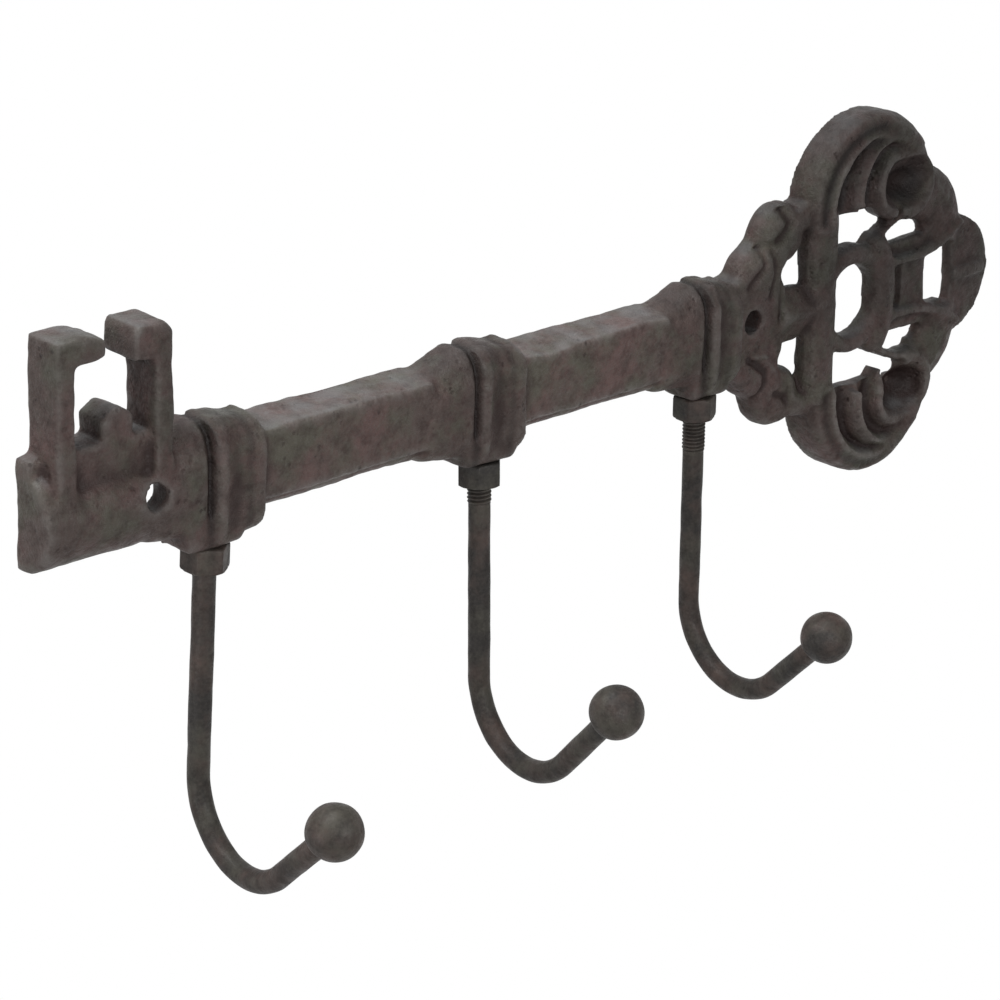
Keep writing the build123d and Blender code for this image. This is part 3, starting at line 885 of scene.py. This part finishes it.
def worked(points, normals):
    """The hand-worked forms as shifts of the casting's points.

    Collars are humped and the ward is peaked in Z. In Y the ground round the barrel's hole is sunk, knuckles
    are flattened, eyes are dished as bowls, and folds and flutes are cut as bell curves of the distance from
    their lines.
    """
    x, y, z = (points / MM).T
    high = humped(x, z) + peaked(x, z)
    near_hole = eased(*HOLE_GROUND, np.hypot(x - HOLE_X, z - HOLE_Z))
    deep = y + HOLE_SUNK * near_hole * eased(*HOLE_DEPTHS, y) * (y < HOLE_BACK)
    on_neck = (x > KNUCKLES_X[0]) & (x < KNUCKLES_X[1]) & (np.abs(z) > KNUCKLES_Z)
    knuckled = on_neck & (deep < KNUCKLES_FRONT)
    deep = np.where(knuckled, KNUCKLES_FRONT + KNUCKLES_KEPT * (deep - KNUCKLES_FRONT), deep)
    dish = in_eyes(x, z)
    dished = (dish < 1) & (deep < EYE_BACK)
    deep = np.where(dished, np.maximum(deep, EYE_FLOOR - EYE_RISE * dish**2), deep)
    cut = np.zeros_like(x)
    for line in (*FOLDS, *collar_lines()):
        cut += line.depth * bell(off_line(x, z, line.places), line.half)
    facing = eased(*FACING, -normals[:, 1])
    deep += (cut + FLUTES_DEPTH * fluting(x, z)) * facing * (y < FRONT_Y)
    return np.stack([x, deep, high], 1) * MM


def cast_corners(mesh, steps, wear):
    """Fills inner corners and wears outer edges.

    Each point goes half way to its neighbours' mean, and by the share of wear only where it stands out.
    """
    points = read_points(mesh)
    edges = read_edges(mesh)
    for _ in range(steps):
        normals = read_normals(mesh)
        way = evened(points, edges, 1) - points
        out = np.einsum("ij,ij->i", way, normals)
        held = np.where(out < 0, (wear - 1) * out, 0.0)
        points = points + way + normals * held[:, None]
        write_points(mesh, points)


def forged(points):
    """Waves along the shanks' upper front edge, -1 to 1: ripples of X that fade at its ends and off it."""
    x, y, z = (points / MM).T
    share = ramp(*FORGED_UP, z) * ramp(*FORGED_OUT, -y) * (z < FORGED_TOP)
    inside = sum(
        ramp(left, left + FORGED_FADE, x) * ramp(right, right - FORGED_FADE, x)
        for left, right, _ in SHANKS)
    return ripples(points * SIDEWAYS, *FORGED_WAVES) * share * inside


def waved(mesh, s):
    """Raises the cast surface along its normals by long and short ripples, and the shanks by forged waves."""
    points = read_points(mesh)
    waves = ripples(points, *LONG_WAVES) * s.waviness
    waves += ripples(points, *SHORT_WAVES) * s.waviness * SHORT_SHARE
    points = points + read_normals(mesh) * waves[:, None]
    points[:, 2] += s.forging * forged(points)
    write_points(mesh, points)


def relief_of(mesh, steps, depth):
    """How far each point stands out of the smoothed surface, -1 in hollows to 1 on ridges, at a depth."""
    points = read_points(mesh)
    edges = read_edges(mesh)
    smooth = evened(points, edges, steps, RELIEF_SHARE)
    out = np.einsum("ij,ij->i", points - smooth, read_normals(mesh)) / depth
    return np.clip(evened(out, edges, RELIEF_STEPS), -1, 1)


def painted_light_at(points):
    """How much lighter the coat is painted than elsewhere, as painted light and shade.

    It is painted lighter along the shanks, with painted highlights on the collars' rims and the flutes'
    crests and painted bounce light low on the bow. It is darker on the collars' tops, and painted shade lies
    in the collars' grooves, the flutes, the eyes and over the upper bow.
    """
    x, y, z = (points / MM).T
    start, full, last, end = SHANK_FADE
    tone = sum(
        lighter * between(x, left + start, left + full, right + last, right + end)
        for left, right, lighter in SHANKS)
    tone += eased(*BOW_X, x) * (BOW_FOOT_TONE - BOW_DARKER * eased(*BOW_Z, z))
    tone -= COLLAR_DARKER * on_collars(x) * eased(*COLLAR_DARKER_Z, z)
    for groove, ring in COLLARS:
        for band in BANDS:
            off = x - groove - (band.share * ring + band.shift)
            tone += band.tone * bell(off, band.half) * (np.abs(z) < BANDS_LIMIT)
    darker = FLUTES_DARKER * fluting(x, z) + EYE_DARKER * eased(*EYE_SHADE, in_eyes(x, z))
    return tone - darker * eased(*TONED_FRONT, y)


def stained_and_shaded(mesh):
    """Stores what the coat reads: fine and broad relief for worn ridges and painted shade, painted light and
    shade, and dust with a painted sheen on faces that look up.
    """
    points = read_points(mesh)
    store(mesh, "relief", relief_of(mesh, RIDGE_STEPS, RIDGE_DEPTH * MM))
    store(mesh, "hollow", relief_of(mesh, HOLLOW_STEPS, HOLLOW_DEPTH * MM))
    store(mesh, "tone", painted_light_at(points))
    less_on_collars = 1 - DUST_AND_SHEEN_OFF_COLLARS * on_collars(points[:, 0] / MM)
    store(mesh, "dust", eased(*DUST_AND_SHEEN_SLOPES, read_normals(mesh)[:, 2]) * less_on_collars)


class KEYRACK_OT_casting(bpy.types.Operator):
    """Round and roughen a copy of the cast key"""

    bl_idname = "key_rack.casting"
    bl_label = "Cast key"

    def execute(self, context):
        """A copy of the node is welded, remeshed, worked, softened, worn, waved, given its dust with a
        painted sheen and its painted light and shade, and thinned.
        """
        s = rack().casting
        mesh = modified(
            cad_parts["key_casting"].data.copy(),
            ("WELD", {"merge_threshold": WELD * MM}),
            ("REMESH", {"mode": "VOXEL", "voxel_size": s.grain}))
        soften(mesh, neck_lobes(read_points(mesh)), NECK_STEPS)
        write_points(mesh, worked(read_points(mesh), read_normals(mesh)))
        soften(mesh, collar_humps(read_points(mesh)), COLLAR_STEPS)
        soften(mesh, bit_corners(read_points(mesh)), BIT_STEPS)
        cast_corners(mesh, s.filling, s.wear)
        waved(mesh, s)
        stained_and_shaded(mesh)
        triangles = 2 * len(mesh.polygons)
        if triangles > s.faces:
            mesh = modified(mesh, ("DECIMATE", {"ratio": s.faces / triangles}))
        mesh.name = "cast_key"
        put_piece("cast_key", mesh, cast_coat(), ["key_casting"])
        return {"FINISHED"}


# Hooks, balls and nuts

def placed(points, hook):
    """Points from a hook's own place into the rack's frame: a turn, a pitch, a lean and a shift."""
    shift = Matrix.Translation((hook.x * MM, SEAT_Y * MM, SEAT_Z * MM))
    lean = Matrix.Rotation(math.radians(hook.lean), 4, "Y")
    pitch = Matrix.Rotation(math.radians(hook.pitch), 4, "X")
    turn = Matrix.Rotation(math.radians(hook.turn), 4, "Z")
    matrix = np.array(shift @ (lean @ pitch) @ turn)
    return points @ matrix[:3, :3].T + matrix[:3, 3]


def rod_line(hook):
    """The rod's middle line: distances from the seat, places, directions and the thread's end.

    It goes straight down, round an arc and straight on, and is stepped finely along the thread that shows.
    """
    s = rack().hooks
    drop = hook.drop * MM
    thread_end = s.nut_height + hook.bare_thread * MM
    arc = s.bend_radius * s.bend_angle
    stub = s.stub_length - s.ball_radius + INTO_BALL * MM
    first, last = s.nut_height - THREAD_ABOVE * MM, thread_end + THREAD_PAST * MM
    along = np.concatenate([
        [-THREAD_INSIDE * MM, 0.0],
        np.arange(first, last, s.thread_pitch / PITCH_STEPS),
        np.linspace(thread_end + PLAIN_PAST * MM, drop, DROP_STEPS)[:-1],
        drop + np.linspace(0, arc, BEND_STEPS),
        drop + arc + np.linspace(0, stub, STUB_STEPS)[1:],
    ])
    bent = np.clip(along - drop, 0, arc) / s.bend_radius
    past = np.clip(along - drop - arc, 0, None)
    straight = np.minimum(along, drop)
    y = -s.bend_radius * (1 - np.cos(bent)) - past * math.sin(s.bend_angle)
    z = -straight - s.bend_radius * np.sin(bent) - past * math.cos(s.bend_angle)
    places = np.stack([np.zeros_like(y), y, z], 1)
    ways = np.stack([np.zeros_like(y), -np.sin(bent), -np.cos(bent)], 1)
    return along, places, ways, thread_end


class KEYRACK_OT_hooks(bpy.types.Operator):
    """Sweep the rod hooks with their threads"""

    bl_idname = "key_rack.hooks"
    bl_label = "Rod hooks"

    def execute(self, context):
        """A circle carried along the rod; on the thread its radius follows a cosine of distance less turn."""
        s = rack().hooks
        turn = np.linspace(0, 2 * math.pi, ROD_AROUND, endpoint=False)
        for index, (name, hook) in enumerate(HOOKS.items()):
            along, places, ways, thread_end = rod_line(hook)
            front = np.cross(ways, SIDEWAYS)
            crest = 0.5 + 0.5 * np.cos(along[:, None] / s.thread_pitch * 2 * math.pi - turn[None, :])
            threaded = np.clip((thread_end - along) / (THREAD_FADE * MM), 0, 1)[:, None]
            screw = s.thread_radius - s.thread_depth * (1 - crest**CREST_POWER)
            radius = s.rod_radius + (screw - s.rod_radius) * threaded
            rings = places[:, None, :] + radius[..., None] * (
                np.cos(turn)[None, :, None] * SIDEWAYS + np.sin(turn)[None, :, None] * front[:, None, :])
            points, faces = capped(rings)
            points = placed(points, hook)
            out = points - placed(np.repeat(places, ROD_AROUND, 0), hook)
            out /= np.linalg.norm(out, axis=1, keepdims=True)
            lumps = ripples(points, ROD_SEED + index, *ROD_WAVES) * ROD_LUMPS * MM
            points = points + out * (lumps * (1 - np.repeat(threaded[:, 0], ROD_AROUND)))[:, None]
            mesh = new_mesh(f"rod_hook_{name}", points, faces)
            # The thread's crests take the worn colour, and its roots a painted shade
            store(mesh, "relief", ((crest - 0.5) * CREST_WEAR_AND_SHADE * threaded).reshape(-1))
            put_piece(f"rod_hook_{name}", mesh, rod_coat(), [f"hook_{name}"])
        return {"FINISHED"}


class KEYRACK_OT_balls(bpy.types.Operator):
    """Make the balls on the hooks' ends"""

    bl_idname = "key_rack.balls"
    bl_label = "Ball ends"

    def execute(self, context):
        """A ball as circles from the rod's edge to the far pole along the stub, slightly uneven."""
        s = rack().hooks
        points, faces = [], []
        turn = np.linspace(0, 2 * math.pi, BALL_AROUND, endpoint=False)
        neck = math.asin(BALL_NECK * s.rod_radius / s.ball_radius)
        polar = np.linspace(neck, math.pi - BALL_POLE, BALL_STEPS)[:, None, None]
        sine, cosine = math.sin(s.bend_angle), math.cos(s.bend_angle)
        way = np.array([0, -sine, -cosine])
        front = np.cross(way, SIDEWAYS)
        radial = np.cos(turn)[:, None] * SIDEWAYS + np.sin(turn)[:, None] * front
        count = 0
        for index, hook in enumerate(HOOKS.values()):
            bend_end = np.array([0, -s.bend_radius * (1 - cosine), -hook.drop * MM - s.bend_radius * sine])
            middle = bend_end + way * s.stub_length
            rings = middle + s.ball_radius * (np.sin(polar) * radial - np.cos(polar) * way)
            shell, closed = capped(rings, count)
            shell = placed(shell, hook)
            out = (shell - placed(middle[None, :], hook)) / s.ball_radius
            lumps = ripples(shell, BALL_SEED + index, *BALL_WAVES) * BALL_LUMPS * MM
            points.append(shell + out * lumps[:, None])
            faces += closed
            count += len(shell)
        mesh = new_mesh("ball_ends_shown", np.concatenate(points), faces)
        put_piece("ball_ends_shown", mesh, rod_coat(), ["ball_ends"])
        return {"FINISHED"}


def nut_profile(s):
    """A nut's profile from its bore out, down and back in: radii, which are nan on the flanks, and depths."""
    flat, foot = s.nut_flats / 2, s.nut_height
    bore = s.thread_radius - NUT_BITE * MM
    seat = [(bore, 0.0)] + [(flat * share, 0.0) for share in NUT_SEAT]
    run = np.linspace(FLANK_RUN[0] * MM, foot - FLANK_RUN[1] * MM, FLANK_STEPS)
    depths = [FLANK_TOP * MM, *run, *(foot - up * MM for up in FLANK_FOOT)]
    wide, tall = BORE_CHAMFER
    under = [(flat * NUT_FOOT, foot), (bore + wide * MM, foot), (bore, foot - tall * MM)]
    return np.array(seat + [(math.nan, depth) for depth in depths] + under).T[:, :, None]


class KEYRACK_OT_nuts(bpy.types.Operator):
    """Make the hex nuts under the collars"""

    bl_idname = "key_rack.nuts"
    bl_label = "Lock nuts"

    def execute(self, context):
        """A profile from bore to flank and back, carried round; the flank is a hexagon cut by two cones."""
        s = rack().hooks
        points, faces = [], []
        turn = np.linspace(0, 2 * math.pi, NUT_AROUND, endpoint=False)
        flat = s.nut_flats / 2
        flank = flat / np.cos((turn + math.pi / 6) % (math.pi / 3) - math.pi / 6)
        radius, depth = nut_profile(s)
        cone = flat + np.minimum(depth + CONE_TOP * MM, s.nut_height - depth + CONE_FOOT * MM) * CONE_SLOPE
        radius = np.where(np.isnan(radius), np.minimum(flank, cone), radius)
        count = 0
        for hook in HOOKS.values():
            a = turn + math.radians(hook.nut_turn)
            rings = np.stack([radius * np.cos(a), radius * np.sin(a), -depth + 0 * radius], -1)
            rings = np.concatenate([rings, rings[:1]])
            points.append(placed(rings.reshape(-1, 3), hook))
            faces += tube(rings, count)[:, ::-1].tolist()
            count += len(points[-1])
        mesh = new_mesh("lock_nuts_shown", np.concatenate(points), faces)
        put_piece("lock_nuts_shown", mesh, rod_coat(), ["lock_nuts"])
        return {"FINISHED"}


# The stage

def seen_white(tree, plain, kind):
    """A shader that is white to the camera and to reflections, and itself to all other light."""
    light = tree.nodes.new("ShaderNodeLightPath")
    seen = reckoned(tree, "MAXIMUM", light.outputs["Is Camera Ray"], light.outputs["Is Glossy Ray"])
    seen = reckoned(tree, "MAXIMUM", seen, light.outputs["Is Transmission Ray"])
    white = tree.nodes.new(kind)
    white.inputs["Color"].default_value = WHITE
    white.inputs["Strength"].default_value = 1.0
    mix = tree.nodes.new("ShaderNodeMixShader")
    for socket, source in zip(mix.inputs, (seen, plain.outputs[0], white.outputs[0])):
        tree.links.new(source, socket)
    return mix.outputs[0]


def pale_floor(low):
    """A square floor at a height, which throws light back up and is seen as white."""
    corners = ((-1, -1), (1, -1), (1, 1), (-1, 1))
    mesh = new_mesh("floor", [(x * FLOOR_REACH, y * FLOOR_REACH, low) for x, y in corners], [(0, 1, 2, 3)])
    floor = bpy.data.objects.new("floor", mesh)
    bpy.context.scene.collection.objects.link(floor)
    paint = bpy.data.materials.new("pale_floor")
    paint.use_nodes = True
    tree = paint.node_tree
    plain = tree.nodes["Principled BSDF"]
    plain.inputs["Base Color"].default_value = FLOOR_COLOUR
    plain.inputs["Roughness"].default_value = FLOOR_ROUGHNESS
    white = seen_white(tree, plain, "ShaderNodeEmission")
    tree.links.new(white, tree.nodes["Material Output"].inputs["Surface"])
    mesh.materials.append(paint)


def studio_air(strength):
    """An even light from all round, which is seen as white."""
    world = bpy.data.worlds.new("studio")
    bpy.context.scene.world = world
    world.use_nodes = True
    tree = world.node_tree
    air = tree.nodes["Background"]
    air.inputs["Color"].default_value = WHITE
    air.inputs["Strength"].default_value = strength
    white = seen_white(tree, air, "ShaderNodeBackground")
    tree.links.new(white, tree.nodes["World Output"].inputs["Surface"])


def soft_lamp(name, power, size, place, target):
    """A square lamp at a place, turned to a target."""
    lamp = bpy.data.lights.new(name, "AREA")
    lamp.energy = power
    lamp.size = size
    made = bpy.data.objects.new(name, lamp)
    bpy.context.scene.collection.objects.link(made)
    way = Vector(target) - Vector(place)
    made.matrix_world = Matrix.Translation(place) @ way.to_track_quat("-Z", "Y").to_matrix().to_4x4()


def photo_camera(s):
    """The camera, turned, raised and rolled about the place that it looks at, and shifted in its plane."""
    data = bpy.data.cameras.new("photo_camera")
    data.lens = s.lens
    data.sensor_width = CAMERA_SENSOR
    data.clip_start = CAMERA_NEAR
    camera = bpy.data.objects.new("photo_camera", data)
    bpy.context.scene.collection.objects.link(camera)
    bpy.context.scene.camera = camera
    t, e, r = s.turn, s.height, s.roll
    sight = np.array([math.sin(t) * math.cos(e), math.cos(t) * math.cos(e), -math.sin(e)])
    right = np.array([math.cos(t), -math.sin(t), 0.0])
    up = np.array([math.sin(t) * math.sin(e), math.cos(t) * math.sin(e), math.cos(e)])
    right, up = math.cos(r) * right + math.sin(r) * up, math.cos(r) * up - math.sin(r) * right
    eye = (np.array(CAMERA_AIM) + CAMERA_RIGHT * right + CAMERA_UP * up) * MM - s.distance * sight
    turned = np.eye(4)
    turned[:3] = np.stack([right, up, -sight, eye], 1)
    camera.matrix_world = Matrix(turned)


class KEYRACK_OT_stage(bpy.types.Operator):
    """Make the floor, the light and the camera"""

    bl_idname = "key_rack.stage"
    bl_label = "Stage"

    def execute(self, context):
        s = rack().stage
        context.scene.view_settings.view_transform = "Standard"
        pale_floor(cad_low[2] - s.floor_drop)
        studio_air(s.ambient)
        for name, lamp in LAMPS.items():
            soft_lamp(name, getattr(s, lamp.setting), lamp.size, lamp.place, lamp.target)
        photo_camera(s)
        return {"FINISHED"}


class KEYRACK_PT_panel(bpy.types.Panel):
    """The rack's pieces, in the sidebar"""

    bl_label = "Key rack"
    bl_idname = "KEYRACK_PT_panel"
    bl_space_type = "VIEW_3D"
    bl_region_type = "UI"
    bl_category = "Key rack"

    def draw(self, context):
        for step in STEPS:
            self.layout.operator(step.bl_idname)
        for part in ("casting", "hooks", "stage"):
            box = self.layout.box()
            settings = getattr(context.scene.key_rack, part)
            for prop in settings.bl_rna.properties:
                if prop.identifier not in {"rna_type", "name"}:
                    box.prop(settings, prop.identifier)


STEPS = (KEYRACK_OT_casting, KEYRACK_OT_hooks, KEYRACK_OT_balls, KEYRACK_OT_nuts, KEYRACK_OT_stage)
CLASSES = (CastingSettings, HookSettings, StageSettings, RackSettings, *STEPS, KEYRACK_PT_panel)


def register():
    for made in CLASSES:
        bpy.utils.register_class(made)
    bpy.types.Scene.key_rack = PointerProperty(type=RackSettings)


def unregister():
    del bpy.types.Scene.key_rack
    for made in reversed(CLASSES):
        bpy.utils.unregister_class(made)


def main():
    """Registers the classes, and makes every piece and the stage."""
    register()
    bpy.ops.key_rack.casting()
    bpy.ops.key_rack.hooks()
    bpy.ops.key_rack.balls()
    bpy.ops.key_rack.nuts()
    bpy.ops.key_rack.stage()


if __name__ == "__main__":
    main()
